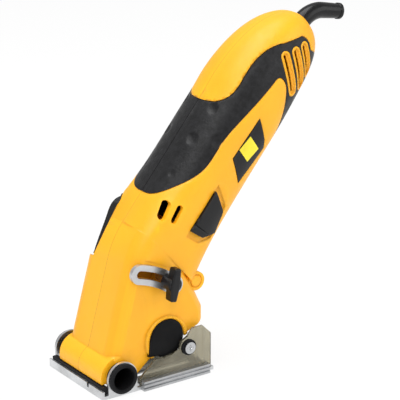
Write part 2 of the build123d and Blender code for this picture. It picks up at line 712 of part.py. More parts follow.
def cord_sleeve():
    """Bend sleeve at the handle's end, open for a cord."""
    inside = WALL + SLEEVE_SETBACK + SLEEVE_COLLAR
    x, z, angle = sleeve_station(0)
    root = Plane(origin=(x, 0, z), x_dir=(0, 1, 0), z_dir=(cos(angle), 0, sin(angle))).location
    collar = root * Pos(0, 0, -inside) * extrude(Circle(SLEEVE_COLLAR_RADIUS), SLEEVE_COLLAR)
    length = SLEEVE_LEAD + SLEEVE_BEND_RADIUS * radians(SLEEVE_TURN) + SLEEVE_TAIL
    x, z, angle = sleeve_station(length)
    tail = Plane(origin=(x, 0, z), x_dir=(0, 1, 0), z_dir=(cos(angle), 0, sin(angle))).location
    lip = tail * Pos(0, 0, -2) * extrude(Circle(SLEEVE_END_RADIUS + SLEEVE_LIP), 2.2)
    body = collar + sleeve_tube(SLEEVE_ROOT_RADIUS, SLEEVE_END_RADIUS, inside - 0.5, 0) + lip
    return body - sleeve_tube(SLEEVE_BORE_RADIUS, SLEEVE_BORE_RADIUS, inside + 1, 1)


def housing_screws():
    """Screws that hold the two halves together, driven from the far side."""
    screws = Part()
    for x, z in SCREW_PLACES:
        head = rod_y(x, z, SCREW_HEAD_RADIUS, SCREW_SEAT, SCREW_SEAT + SCREW_HEAD_HEIGHT)
        cross = Pos(x, SCREW_SEAT + SCREW_HEAD_HEIGHT, z) * (Box(3, 2, 0.8) + Box(0.8, 2, 3))
        screws += head - cross + rod_y(x, z, SCREW_RADIUS, SCREW_SEAT - SCREW_LENGTH, SCREW_SEAT)
    return screws


def switch_slider():
    """Slide switch with its stem."""
    plate = skin(switch_prism(0, 0), SWITCH_LIFT, SWITCH_BED - SWITCH_GAP)
    seam_end = SEAM_START + SEAM_WIDTH
    seam_floor = SEAM_DEPTH - BODY_HALF_WIDTH - SWITCH_LIFT
    plate -= handle_box(SEAM_START, seam_end, -HANDLE_HEIGHT, HANDLE_HEIGHT, -HANDLE_WIDTH, seam_floor)
    stem_top = -BODY_HALF_WIDTH + SWITCH_BED - SWITCH_GAP - 0.8
    stem_end = STEM_START + STEM_LENGTH
    plate += handle_box(STEM_START, stem_end, STEM_LOW, STEM_HIGH, stem_top, -STEM_FACE)
    foot_near = -STEM_FACE - FOOT_THICKNESS
    return plate + handle_box(FOOT_START, stem_end, STEM_LOW, STEM_HIGH, foot_near, -STEM_FACE)


def switch_block():
    """Electric switch that the slider's stem pushes."""
    return handle_box(BLOCK_FRONT, BLOCK_REAR, BLOCK_LOW, 0, -BLOCK_NEAR_FACE, -BLOCK_FAR_FACE)


def frame_block(wider, bottom, top):
    """Rounded block round the lock lever, wider than it on all sides."""
    return lever_block(LEVER_LENGTH + 2 * wider, LEVER_WIDTH + 2 * wider, bottom, top)


def lever_pin_rod(radius, beyond):
    """Round bar along the lock lever's hinge, longer on its far end."""
    half = LEVER_WIDTH / 2 + LEVER_GAP + FRAME_WIDTH / 2
    hinge = LEVER * Pos(LEVER_LENGTH / 2 - PIN_INSET, 0, -PIN_DROP)
    return hinge * across(Circle(radius), -half, half + beyond)


def lock_lever():
    """Rocking lock lever on the far front shoulder, highest near its hinge."""
    half = LEVER_LENGTH / 2
    crown = Spline((half, LEVER_TIP), *LEVER_CROWN, (-half, LEVER_TIP))
    base = Polyline((-half, LEVER_TIP), (-half, -LEVER_SKIRT), (half, -LEVER_SKIRT), (half, LEVER_TIP))
    side = LEVER * across(make_face([crown, base]), -LEVER_WIDTH, LEVER_WIDTH)
    lever = side & lever_block(LEVER_LENGTH, LEVER_WIDTH, -LEVER_SKIRT - 1, REACH / 20)
    return lever - lever_pin_rod(PIN_RADIUS + FIT_CLEARANCE, 0)


def lever_frame():
    """Bezel that carries the lock lever's pin."""
    frame = frame_block(LEVER_GAP + FRAME_WIDTH, -FRAME_DEPTH, FRAME_PROUD)
    frame -= frame_block(LEVER_GAP, -2 * FRAME_DEPTH, 2 * FRAME_DEPTH)
    return frame - lever_pin_rod(PIN_RADIUS, LEVER_WIDTH)


def lever_pin():
    """Hinge pin of the lock lever."""
    return lever_pin_rod(PIN_RADIUS, 0)


def sole_plate():
    """Steel sole with the hinge window, the blade slot and the front flange."""
    half = SOLE_LENGTH / 2
    plate = block(-half, half, -SOLE_HALF, SOLE_HALF, 0, SOLE_THICKNESS)
    front = -half + FLANGE_THICKNESS
    plate -= block(front, WINDOW_REAR, -EAR_INNER, EAR_INNER, -1, SOLE_THICKNESS + 1)
    blade_middle = -BLADE_FACE - BLADE_THICKNESS / 2
    slot_half = BLADE_THICKNESS / 2 + SLOT_SIDE_CLEARANCE
    slot_near = blade_middle - slot_half
    plate -= block(SLOT_FRONT, SLOT_REAR, slot_near, slot_near + 2 * slot_half, -1, SOLE_THICKNESS + 1)
    flange = block(-half, front, -SOLE_HALF, SOLE_HALF, 0, FLANGE_HEIGHT)
    notch_near = blade_middle - KERF_NOTCH / 2
    notch_far = notch_near + KERF_NOTCH
    flange -= block(-half - 1, front + 1, notch_near, notch_far, FLANGE_HEIGHT / 2, FLANGE_HEIGHT + 1)
    return plate + flange


def hinge_ear():
    """Near steel ear that stands on the sole and holds the hinge tube."""
    height = HINGE_Z - SOLE_THICKNESS
    ear = Pos(HINGE_X, HINGE_Z) * Circle(EAR_RADIUS)
    ear += Pos(HINGE_X, SOLE_THICKNESS + height / 2) * Rectangle(2 * EAR_RADIUS, height)
    ear -= Pos(HINGE_X, HINGE_Z) * Circle(TUBE_RADIUS)
    over_sole = block(-SOLE_LENGTH, SOLE_LENGTH, -SOLE_WIDTH, 0, SOLE_THICKNESS, REACH)
    return across(ear, -SOLE_HALF, -EAR_INNER) & over_sole


def rail():
    """Near side rail with lengthwise grooves."""
    bar = block(RAIL_FRONT, RAIL_REAR, -SOLE_HALF - RAIL_WIDTH, -SOLE_HALF, 0, RAIL_HEIGHT)
    outer = -SOLE_HALF - RAIL_WIDTH
    for share in (0.3, 0.7):
        low = RAIL_HEIGHT * share - RAIL_GROOVE / 2
        bar -= block(RAIL_FRONT - 1, RAIL_REAR + 1, outer - 1, outer + RAIL_GROOVE, low, low + RAIL_GROOVE)
    return bar


def guard():
    """Near smoked guard wall, lapping the body's lower edge and dipping under the arbor cover."""
    tip = (EDGE_TIP[0], EDGE_TIP[1] + GUARD_LAP)
    rise = (GUARD_RISE_X, edge_height(GUARD_RISE_X) + GUARD_LAP)
    front = RAIL_FRONT - 0.5
    points = [(front, SOLE_THICKNESS), (front, GUARD_FRONT_HEIGHT), tip, *GUARD_DIP, rise, *GUARD_TOP]
    points += [(GUARD_REAR, GUARD_TOP[-1][1] - 1), (GUARD_REAR, SOLE_THICKNESS)]
    wall = across(outline(points), -SOLE_HALF, -SOLE_HALF + GUARD_THICKNESS)
    for x in GUARD_RIBS:
        left = x - GUARD_RIB_WIDTH / 2
        right = left + GUARD_RIB_WIDTH
        top = min(GUARD_TOP[0][1], GUARD_TOP[-1][1] + GUARD_TOP[-1][0] - right) - GUARD_RIB_WIDTH
        wall += block(left, right, -SOLE_HALF - GUARD_RIB_PROUD, -SOLE_HALF, RAIL_HEIGHT, top)
    return wall


def guard_near():
    """Near guard wall with the hole for the guide screw."""
    inner = -SOLE_HALF + GUARD_THICKNESS
    return guard() - rod_y(GUIDE_X, GUIDE_Z, GUIDE_SHANK_RADIUS, -SOLE_HALF - 1, inner + 1)


def guide_collar():
    """Black collar of the guide screw."""
    seat = -SOLE_HALF - GUIDE_COLLAR_HEIGHT
    return ring_y(GUIDE_X, GUIDE_Z, GUIDE_COLLAR_RADIUS, GUIDE_SHANK_RADIUS, seat, -SOLE_HALF)


def guide_screw():
    """Screw for a parallel guide."""
    seat = -SOLE_HALF - GUIDE_COLLAR_HEIGHT
    head = rod_y(GUIDE_X, GUIDE_Z, GUIDE_HEAD_RADIUS, seat - GUIDE_HEAD_HEIGHT, seat)
    cross = Pos(GUIDE_X, seat - GUIDE_HEAD_HEIGHT, GUIDE_Z) * (Box(5, 1.6, 1.1) + Box(1.1, 1.6, 5))
    return head - cross + rod_y(GUIDE_X, GUIDE_Z, GUIDE_SHANK_RADIUS, seat, -SOLE_HALF + GUARD_THICKNESS)


def hinge_tube():
    """Tube through both ears: hinge of the body and dust port."""
    mouth = -SOLE_HALF - PORT_OVERHANG
    tube = rod_y(HINGE_X, HINGE_Z, TUBE_RADIUS, mouth, SOLE_HALF)
    tube += rod_y(HINGE_X, HINGE_Z, PORT_RIM_RADIUS, mouth, -SOLE_HALF)
    tube -= rod_y(HINGE_X, HINGE_Z, PORT_RADIUS, mouth - 1, mouth + PORT_DEPTH)
    tube -= rod_y(HINGE_X, HINGE_Z, TUBE_BORE_RADIUS, mouth, SOLE_HALF + 1)
    opening = Pos(HINGE_X, HINGE_Z) * sector(TUBE_BORE_RADIUS - 2, TUBE_RADIUS + 2, *DUST_WINDOW_ANGLES)
    return tube - across(opening, -DUST_WINDOW_HALF, DUST_WINDOW_HALF)


def port_cap():
    """Plug that closes the tube's far end."""
    cap = rod_y(HINGE_X, HINGE_Z, CAP_RADIUS, SOLE_HALF, SOLE_HALF + CAP_THICKNESS)
    return cap + rod_y(HINGE_X, HINGE_Z, TUBE_BORE_RADIUS, SOLE_HALF - CAP_PLUG, SOLE_HALF)


def nose_seal():
    """Strip that closes the gap behind the front flange."""
    front = -SOLE_LENGTH / 2 + FLANGE_THICKNESS
    return block(front, front + SEAL_DEPTH, -EAR_INNER, EAR_INNER, SEAL_BOTTOM, SEAL_TOP)


def depth_link():
    """Painted link from the tube to the depth bolt."""
    saddle = Pos(HINGE_X, HINGE_Z) * sector(TUBE_RADIUS, SADDLE_RADIUS, *SADDLE_ANGLES)
    taper = DEPTH_RADIUS - 3 * LINK_END_RADIUS
    upper = [(0, LINK_HALF_WIDTH), (taper, LINK_HALF_WIDTH), (DEPTH_RADIUS, LINK_END_RADIUS)]
    lower = [(DEPTH_RADIUS, -LINK_END_RADIUS), (taper, -LINK_HALF_WIDTH), (0, -LINK_HALF_WIDTH)]
    bar = outline(upper + lower) + Pos(DEPTH_RADIUS, 0) * Circle(LINK_END_RADIUS)
    bar = Pos(HINGE_X, HINGE_Z) * Rot(0, 0, KNOB_ANGLE) * bar
    profile = saddle + bar - Pos(HINGE_X, HINGE_Z) * Circle(TUBE_RADIUS)
    profile -= Pos(KNOB_X, KNOB_Z) * Circle(BOLT_RADIUS)
    return across(profile, -LINK_FACE - LINK_THICKNESS, -LINK_FACE)


def depth_bolt():
    """Bolt from the link out through the body's slit and the arm."""
    return rod_y(KNOB_X, KNOB_Z, BOLT_RADIUS, -BOLT_END, -LINK_FACE)


def depth_knob():
    """Wing knob that clamps the arm."""
    near = -ARM_FACE - KNOB_GAP - KNOB_THICKNESS
    far = -ARM_FACE - KNOB_GAP
    half = WING_LENGTH / 2
    upper = [(half, WING_TIP_WIDTH / 2), (0, WING_WIDTH / 2), (-half, WING_TIP_WIDTH / 2)]
    lower = [(-half, -WING_TIP_WIDTH / 2), (0, -WING_WIDTH / 2), (half, -WING_TIP_WIDTH / 2)]
    wings = across(Rot(0, 0, WING_TURN) * outline(upper + lower), near, far - KNOB_NECK)
    wings = fillet(wings.edges(), WING_ROUND)
    knob = wings + rod_y(0, 0, KNOB_HUB_RADIUS, near + WING_ROUND, far)
    knob -= rod_y(0, 0, BOLT_RADIUS + RUNNING_CLEARANCE, -BOLT_END - 0.5, far + 1)
    return Pos(KNOB_X, 0, KNOB_Z) * knob


def bearing():
    """Ball bearing about +Z with a groove between its two rings."""
    bore = SHAFT_RADIUS + RUNNING_CLEARANCE
    ring = extrude(Circle(BEARING_RADIUS) - Circle(bore), BEARING_WIDTH)
    middle = (BEARING_RADIUS + bore) / 2
    groove = extrude(Circle(middle + 1.2) - Circle(middle - 1.2), 0.6)
    return ring - groove - Pos(0, 0, BEARING_WIDTH - 0.6) * groove


def arbor_bearings():
    """The arbor's two bearings."""
    near = WHEEL * Pos(0, 0, -CASE_NEAR_FACE + CASE_LIP) * bearing()
    return near + WHEEL * Pos(0, 0, CASE_FAR_FACE) * bearing()


def motor_bearings():
    """The armature's two bearings."""
    lower = MOTOR * Pos(0, 0, MOTOR_BEARING_START) * bearing()
    return lower + MOTOR * Pos(0, 0, UPPER_BEARING_START) * bearing()


def gear_case():
    """Case round the bevel gears with the motor neck."""
    neck = motor_rod(NECK_RADIUS, 0, NECK_END)
    case = rod_y(ARBOR_X, ARBOR_Z, CASE_RADIUS, -CASE_NEAR_FACE, CASE_FAR_FACE) + neck
    seat = CASE_LIP - CASE_NEAR_FACE
    case -= rod_y(ARBOR_X, ARBOR_Z, CASE_RADIUS - CASE_WALL, seat + BEARING_WIDTH, CASE_FAR_FACE + 1)
    case -= rod_y(ARBOR_X, ARBOR_Z, BEARING_RADIUS, seat, 0)
    case -= rod_y(ARBOR_X, ARBOR_Z, BEARING_RADIUS - 2.5, -CASE_NEAR_FACE - 1, 0)
    case -= motor_rod(NECK_HOLE_RADIUS, 0, MOTOR_BEARING_START + 1)
    return case - motor_rod(BEARING_RADIUS, MOTOR_BEARING_START, NECK_END + 1)


def gear_cover():
    """Far cover of the gear case with the arbor's far bearing seat."""
    cover = rod_y(ARBOR_X, ARBOR_Z, CASE_RADIUS, CASE_FAR_FACE, COVER_FACE)
    return cover - rod_y(ARBOR_X, ARBOR_Z, BEARING_RADIUS, CASE_FAR_FACE - 1, CASE_FAR_FACE + BEARING_WIDTH)


def stator():
    """Laminated stator with slots for the field coils."""
    core = Circle(STATOR_RADIUS) - Circle(ARMATURE_RADIUS + AIR_GAP)
    for side in (0, 180):
        for start, end in ((COIL_ANGLES[0], COIL_ANGLES[1]), (-COIL_ANGLES[1], -COIL_ANGLES[0])):
            core -= sector(ARMATURE_RADIUS - 2, COIL_RADII[1] + COIL_GAP, side + start - 1, side + end + 1)
    return MOTOR * Pos(0, 0, STATOR_START) * extrude(core, STATOR_LENGTH)


def field_coils():
    """Two saddle shaped field coils."""
    start = STATOR_START - COIL_END
    length = STATOR_LENGTH + 2 * COIL_END
    coils = Part()
    for side in (0, 180):
        legs = sector(*COIL_RADII, side + COIL_ANGLES[0], side + COIL_ANGLES[1])
        legs += sector(*COIL_RADII, side - COIL_ANGLES[1], side - COIL_ANGLES[0])
        turn = sector(*COIL_RADII, side - COIL_ANGLES[1], side + COIL_ANGLES[1])
        coil = Pos(0, 0, start) * extrude(legs, length)
        coil += Pos(0, 0, start) * extrude(turn, COIL_END - COIL_GAP)
        coil += Pos(0, 0, STATOR_END + COIL_GAP) * extrude(turn, COIL_END - COIL_GAP)
        coils += MOTOR * coil
    return coils


def holder_box(width, height, y_from, y_to):
    """Box along Y at the brushes: width along the motor's axis."""
    box = block(y_from, y_to, -height / 2, height / 2, BRUSH_CENTRE - width / 2, BRUSH_CENTRE + width / 2)
    return MOTOR * box


def brush_holders():
    """Two sleeves for the carbon brushes on the brush rib."""
    width = BRUSH_WIDTH + 2 * HOLDER_WALL
    height = BRUSH_HEIGHT + 2 * HOLDER_WALL
    box = holder_box(width, height, HOLDER_INNER, HOLDER_OUTER)
    inner_width = BRUSH_WIDTH + BRUSH_CLEARANCE
    box -= holder_box(inner_width, BRUSH_HEIGHT + BRUSH_CLEARANCE, 0, HOLDER_OUTER - HOLDER_WALL)
    return box + far_side(box)


def brushes():
    """Two carbon brushes, hollowed to the commutator."""
    brush = holder_box(BRUSH_WIDTH, BRUSH_HEIGHT, COMMUTATOR_RADIUS - 2, COMMUTATOR_RADIUS + BRUSH_LENGTH)
    commutator_end = COMMUTATOR_START + COMMUTATOR_LENGTH
    brush -= motor_rod(COMMUTATOR_RADIUS + FIT_CLEARANCE, COMMUTATOR_START - 1, commutator_end + 1)
    return brush + far_side(brush)


def armature_shaft():
    """Motor shaft with a spigot for the pinion."""
    shaft = motor_rod(SHAFT_RADIUS, PINION_HUB_END, UPPER_BEARING_START + BEARING_WIDTH)
    return shaft + motor_rod(SPIGOT_RADIUS, pinion_front(), PINION_HUB_END)


def armature_core():
    """Slotted core stack."""
    core = Circle(ARMATURE_RADIUS) - Circle(SHAFT_RADIUS)
    for step in range(COMMUTATOR_BARS):
        core -= Rot(0, 0, 360 * step / COMMUTATOR_BARS) * Pos(ARMATURE_RADIUS, 0) * Rectangle(5, 1.4)
    return MOTOR * Pos(0, 0, STATOR_START) * extrude(core, STATOR_LENGTH)


def armature_windings():
    """Winding heads at both ends of the core."""
    lower = motor_ring(WINDING_RADIUS, SHAFT_RADIUS, STATOR_START - COIL_END, STATOR_START)
    upper = motor_ring(WINDING_RADIUS - 1, SHAFT_RADIUS, STATOR_END, STATOR_END + COIL_END)
    return lower + upper


def commutator():
    """Copper commutator with its bars."""
    ring = Circle(COMMUTATOR_RADIUS) - Circle(SHAFT_RADIUS)
    for step in range(COMMUTATOR_BARS):
        ring -= Rot(0, 0, 360 * step / COMMUTATOR_BARS) * Pos(COMMUTATOR_RADIUS, 0) * Rectangle(2, 0.5)
    return MOTOR * Pos(0, 0, COMMUTATOR_START) * extrude(ring, COMMUTATOR_LENGTH)


def cooling_fan():
    """Fan on the armature shaft."""
    fan = extrude(Circle(FAN_RADIUS) - Circle(SHAFT_RADIUS), FAN_PLATE)
    fan += extrude(Circle(SHAFT_RADIUS + 3) - Circle(SHAFT_RADIUS), FAN_WIDTH)
    vane = Pos(FAN_RADIUS - 5.5, 0, FAN_WIDTH / 2) * Box(10, 1.2, FAN_WIDTH)
    for step in range(FAN_BLADES):
        fan += Rot(0, 0, 360 * step / FAN_BLADES) * vane
    return MOTOR * Pos(0, 0, FAN_START) * fan


def gear_sizes(teeth, mate_teeth):
    """Pitch cone angle, pitch radius, cone distance, addendum and dedendum of a bevel gear."""
    cone = atan2(teeth, mate_teeth)
    pitch = GEAR_MODULE * teeth / 2
    return cone, pitch, pitch / sin(cone), 0.8 * GEAR_MODULE, 1.25 * GEAR_MODULE


def pinion_front():
    """Where the pinion's small end begins on the motor's axis."""
    cone, pitch, distance, addendum, dedendum = gear_sizes(PINION_TEETH, WHEEL_TEETH)
    return (distance * cos(cone) + dedendum * sin(cone)) * (distance - GEAR_FACE) / distance


def tooth_wire(teeth, mate_teeth, scale):
    """Outline of one tooth on the back cone, drawn toward the apex by the scale."""
    cone, pitch, distance, addendum, dedendum = gear_sizes(teeth, mate_teeth)
    virtual = pitch / cos(cone)
    pressure = radians(PRESSURE_ANGLE)
    half_angle = (pi * GEAR_MODULE / 2 - GEAR_BACKLASH / 2) / (2 * virtual)
    heights = [-dedendum - 0.3, -dedendum / 2, 0, addendum / 2, addendum]
    flank = []
    for height in heights:
        local = acos(min(1.0, virtual * cos(pressure) / (virtual + height)))
        wide = half_angle + (tan(pressure) - pressure) - (tan(local) - local)
        radial = pitch + height * cos(cone)
        axial = distance * cos(cone) - height * sin(cone)
        flank.append((radial * scale, (virtual + height) * sin(wide) * scale, axial * scale))
    other = [(radial, -side, axial) for radial, side, axial in reversed(flank)]
    return Wire.make_polygon(flank + other, close=True)


def bevel_gear(teeth, mate_teeth, first_turn, bore, hub_radius, hub_end):
    """Straight bevel gear about +Z with its apex at the origin."""
    cone, pitch, distance, addendum, dedendum = gear_sizes(teeth, mate_teeth)
    scale = (distance - GEAR_FACE) / distance
    root = pitch - dedendum * cos(cone)
    root_axial = distance * cos(cone) + dedendum * sin(cone)
    hub = [(hub_radius, root_axial + 1.2), (hub_radius, hub_end), (bore, hub_end), (bore, root_axial * scale)]
    profile = [(root * scale, root_axial * scale), (root, root_axial), (root, root_axial + 1.2)] + hub
    gear = revolve(Plane.XZ * outline(profile), Axis.Z)
    ends = [tooth_wire(teeth, mate_teeth, 1.0), tooth_wire(teeth, mate_teeth, scale)]
    tooth = Solid.make_loft(ends, ruled=True)
    for step in range(teeth):
        gear += Rot(0, 0, 360 * (step + first_turn) / teeth) * tooth
    return gear - extrude(Circle(bore), REACH / 4)


def pinion():
    """Bevel pinion on the motor shaft, with a tooth toward the wheel."""
    return MOTOR * bevel_gear(PINION_TEETH, WHEEL_TEETH, 0, SPIGOT_RADIUS, SHAFT_RADIUS, PINION_HUB_END)


def bevel_wheel():
    """Bevel wheel on the arbor, with a gap toward the pinion."""
    hub_end = CASE_FAR_FACE - 0.4
    return WHEEL * bevel_gear(WHEEL_TEETH, PINION_TEETH, 0.5, SHAFT_RADIUS, WHEEL_HUB_RADIUS, hub_end)


def arbor_shaft():
    """Short shaft that carries the wheel and the blade."""
    near = -BLADE_OUTER + 0.5
    shaft = rod_y(ARBOR_X, ARBOR_Z, SHAFT_RADIUS, near, CASE_FAR_FACE + BEARING_WIDTH - 0.3)
    return shaft - rod_y(ARBOR_X, ARBOR_Z, BLADE_SCREW_RADIUS, near - 1, -FLANGE_OUTER + BLADE_SCREW_LENGTH)


def inner_flange():
    """Flange behind the blade with the spigot for its bore."""
    flange = ring_y(ARBOR_X, ARBOR_Z, FLANGE_RADIUS, SHAFT_RADIUS, -BLADE_FACE, -INNER_FLANGE_FACE)
    return flange + ring_y(ARBOR_X, ARBOR_Z, BLADE_BORE_RADIUS, SHAFT_RADIUS, -BLADE_OUTER, -BLADE_FACE)


def saw_blade():
    """Toothed blade."""
    points = []
    root = BLADE_RADIUS - BLADE_GULLET
    for step in range(BLADE_TEETH):
        start = 2 * pi * step / BLADE_TEETH
        pitch = 2 * pi / BLADE_TEETH
        for radius, share in ((BLADE_RADIUS, 0.0), (root, 0.08), (root, 0.35), (BLADE_RADIUS - 0.8, 0.8)):
            angle = start + share * pitch
            points.append((ARBOR_X + radius * cos(angle), ARBOR_Z + radius * sin(angle)))
    disc = outline(points) - Pos(ARBOR_X, ARBOR_Z) * Circle(BLADE_BORE_RADIUS)
    return across(disc, -BLADE_OUTER, -BLADE_FACE)


def outer_flange():
    """Clamp flange in front of the blade."""
    return ring_y(ARBOR_X, ARBOR_Z, FLANGE_RADIUS, BLADE_SCREW_RADIUS, -FLANGE_OUTER, -BLADE_OUTER)


def blade_screw():
    """Hexagon socket screw that holds the blade."""
    seat = -FLANGE_OUTER
    head = rod_y(ARBOR_X, ARBOR_Z, BLADE_SCREW_HEAD_RADIUS, seat - BLADE_SCREW_HEAD_HEIGHT, seat)
    socket = across(Pos(ARBOR_X, ARBOR_Z) * RegularPolygon(BLADE_SCREW_RADIUS, 6), -REACH / 4, seat - 1.5)
    return head - socket + rod_y(ARBOR_X, ARBOR_Z, BLADE_SCREW_RADIUS, seat, seat + BLADE_SCREW_LENGTH)


def build():
    """Every piece by its name."""
    shell = common_shell()
    return {
        "sole_plate": sole_plate(),
        "ear_near": hinge_ear(),
        "ear_far": far_side(hinge_ear()),
        "rail_near": rail(),
        "rail_far": far_side(rail()),
        "guard_near": guard_near(),
        "guard_far": far_side(guard()),
        "guide_collar": guide_collar(),
        "guide_screw": guide_screw(),
        "hinge_tube": hinge_tube(),
        "port_cap": port_cap(),
        "nose_seal": nose_seal(),
        "depth_link": depth_link(),
        "depth_bolt": depth_bolt(),
        "depth_knob": depth_knob(),
        "housing_near": housing_near(shell),
        "housing_far": housing_far(shell),
        "grip_near": grip(-1),
        "grip_far": grip(1),
        "badge": badge(),
        "badge_panel": badge_panel(),
        "depth_arm": depth_arm(),
        "arbor_cover": arbor_cover(),
        "cord_sleeve": cord_sleeve(),
        "housing_screws": housing_screws(),
        "switch_slider": switch_slider(),
        "switch_block": switch_block(),
        "lock_lever": lock_lever(),
        "lever_frame": lever_frame(),
        "lever_pin": lever_pin(),
        "arbor_bearings": arbor_bearings(),
        "motor_bearings": motor_bearings(),
        "gear_case": gear_case(),
        "gear_cover": gear_cover(),
        "stator": stator(),
        "field_coils": field_coils(),
        "brush_holders": brush_holders(),
        "brushes": brushes(),
        "armature_shaft": armature_shaft(),
        "armature_core": armature_core(),
        "armature_windings": armature_windings(),
        "commutator": commutator(),
        "cooling_fan": cooling_fan(),
        "pinion": pinion(),
        "arbor_shaft": arbor_shaft(),
        "bevel_wheel": bevel_wheel(),
        "inner_flange": inner_flange(),
        "saw_blade": saw_blade(),
        "outer_flange": outer_flange(),
        "blade_screw": blade_screw(),
    }


os.makedirs("parts", exist_ok=True)
for name, solid in build().items():
    export_step(solid, "parts/" + name + ".step")
    print(name, len(solid.solids()), round(solid.volume, 1))
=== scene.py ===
"""Looks of the mini circular saw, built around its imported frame."""

import json
import math

import bmesh
import bpy
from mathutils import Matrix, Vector


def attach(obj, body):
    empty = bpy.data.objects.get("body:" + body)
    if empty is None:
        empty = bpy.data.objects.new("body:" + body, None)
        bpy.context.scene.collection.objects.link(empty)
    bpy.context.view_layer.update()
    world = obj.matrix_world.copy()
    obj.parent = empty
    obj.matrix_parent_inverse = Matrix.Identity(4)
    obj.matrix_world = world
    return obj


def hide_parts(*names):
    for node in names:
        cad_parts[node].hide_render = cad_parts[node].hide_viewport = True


bl_info = {
    "name": "Mini Circular Saw",
    "version": (1, 0, 0),
    "blender": (4, 5, 0),
    "location": "View3D > Sidebar > Saw",
    "description": "Dresses the mini circular saw with its finishes and sets its stage",
    "category": "Object",
}

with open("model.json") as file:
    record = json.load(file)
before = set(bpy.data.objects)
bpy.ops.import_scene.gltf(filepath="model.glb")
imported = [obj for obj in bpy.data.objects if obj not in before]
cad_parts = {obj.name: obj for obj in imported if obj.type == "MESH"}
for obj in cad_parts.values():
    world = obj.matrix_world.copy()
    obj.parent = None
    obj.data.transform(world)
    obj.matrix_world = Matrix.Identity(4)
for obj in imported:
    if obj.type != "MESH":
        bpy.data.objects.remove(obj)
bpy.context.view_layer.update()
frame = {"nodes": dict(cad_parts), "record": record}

YELLOW_NODES = ("housing_near", "housing_far")
PAINTED_NODES = ("depth_link",)
GRIP_NODES = ("grip_near", "grip_far")
CONTROL_NODES = ("depth_knob", "switch_slider", "lock_lever", "lever_frame")
COVER_NODES = ("arbor_cover", "hinge_tube", "port_cap", "nose_seal", "guide_collar")
STEEL_NODES = ("sole_plate", "ear_near", "ear_far", "depth_arm", "depth_bolt")
RAIL_NODES = ("rail_near", "rail_far")
GUARD_NODES = ("guard_near", "guard_far")
SCREW_NODES = ("guide_screw", "housing_screws", "blade_screw", "lever_pin")
BLADE_NODES = ("saw_blade", "inner_flange", "outer_flange", "arbor_shaft", "armature_shaft")
GEAR_NODES = ("pinion", "bevel_wheel", "arbor_bearings", "motor_bearings", "stator", "armature_core")
CAST_NODES = ("gear_case", "gear_cover")
COPPER_NODES = ("field_coils", "armature_windings", "commutator")
HIDDEN_BLACK_NODES = ("switch_block", "brush_holders", "cooling_fan", "brushes")

SMOOTH_ANGLE = math.radians(35)
WELD_DISTANCE = 2e-6
NOISE_LOW, NOISE_HIGH = 0.3, 0.7

# How far scratches are drawn out along each axis: a small share is a long streak.
EVEN = (1, 1, 1)
SOLE_STREAKS = (0.05, 1, 1)
RAIL_STREAKS = (0.04, 1, 1)
GUARD_STREAKS = (0.2, 1, 1)
BLADE_STREAKS = (1, 0.1, 1)
WIRE_STREAKS = (1, 1, 0.1)

# Each lamp: name, place, width and height in metres, power in watts.
LAMPS = (
    ("key_lamp", (-0.8, -1.0, 1.4), (1.0, 0.8), 10),
    ("fill_lamp", (1.0, -1.0, 0.7), (1.2, 1.0), 6),
    ("top_lamp", (-0.1, 0.1, 1.5), (1.2, 1.0), 16),
)
LAMP_AIM = (0.05, 0, 0.12)
WHITE = (1, 1, 1, 1)
ROOM_LIGHT = 0.55
FLOOR_GREY = (0.96, 0.96, 0.96, 1)
FLOOR_WHITE_SHARE = 0.85
FLOOR_HALF = 4.0
FLOOR_DROP = 0.0002
SENSOR_WIDTH = 36.0
VIEW_DEPTH = 50.0


def colour_prop(name, description, default):
    """Colour that a user may change."""
    return bpy.props.FloatVectorProperty(
        name=name, description=description, subtype="COLOR", size=4, min=0, max=1, default=default)


def length_prop(name, description, default):
    """Length in metres that a user may change."""
    return bpy.props.FloatProperty(
        name=name, description=description, subtype="DISTANCE", unit="LENGTH", default=default)


def angle_prop(name, description, degrees):
    """Angle that a user may change."""
    return bpy.props.FloatProperty(
        name=name, description=description, subtype="ANGLE", default=math.radians(degrees))


class SawColours(bpy.types.PropertyGroup):
    """Colours of the finishes, and the width of the line between the halves."""

    yellow: colour_prop("Yellow", "Moulded yellow housing", (0.93, 0.42, 0.009, 1))
    lemon: colour_prop("Badge field", "Plain field on the badge", (0.84, 0.7, 0.02, 1))
    soft_black: colour_prop("Soft grip", "Soft black overmould", (0.006, 0.006, 0.0068, 1))
    hard_black: colour_prop("Hard black", "Black moulded controls", (0.004, 0.004, 0.0045, 1))
    steel: colour_prop("Steel", "Bare steel sheet", (0.66, 0.67, 0.68, 1))
    rail: colour_prop("Rail", "Grey rail and base edge", (0.5, 0.51, 0.52, 1))
    smoke: colour_prop("Smoke", "Smoked guard", (0.42, 0.39, 0.29, 1))
    copper: colour_prop("Copper", "Varnished winding wire", (0.62, 0.27, 0.1, 1))
    parting_line: length_prop("Parting line", "Width of the line between the housing halves", 0.00044)


class SawView(bpy.types.PropertyGroup):
    """Camera of the photograph."""

    aim: bpy.props.FloatVectorProperty(
        name="Aim", description="Point that the camera looks at", subtype="TRANSLATION", unit="LENGTH",
        size=3, default=(0.060, 0.0, 0.115))
    distance: length_prop("Distance", "From the camera to its aim", 1.25)
    azimuth: angle_prop("Azimuth", "Turn of the camera round the saw", -35.0)
    elevation: angle_prop("Elevation", "Height angle of the camera", 18.5)
    lens: bpy.props.FloatProperty(
        name="Lens", description="Focal length in millimetres", unit="CAMERA", default=157.5)


def body_of_node(node):
    """Name of the body that a node belongs to."""
    for body, nodes in frame["record"]["behaviour"]["bodies"].items():
        if node in nodes:
            return body
    raise RuntimeError("no body holds " + node)


def shade(colour, factor):
    """The same colour lighter or darker."""
    return tuple(min(1.0, c * factor) for c in colour[:3]) + (1.0,)


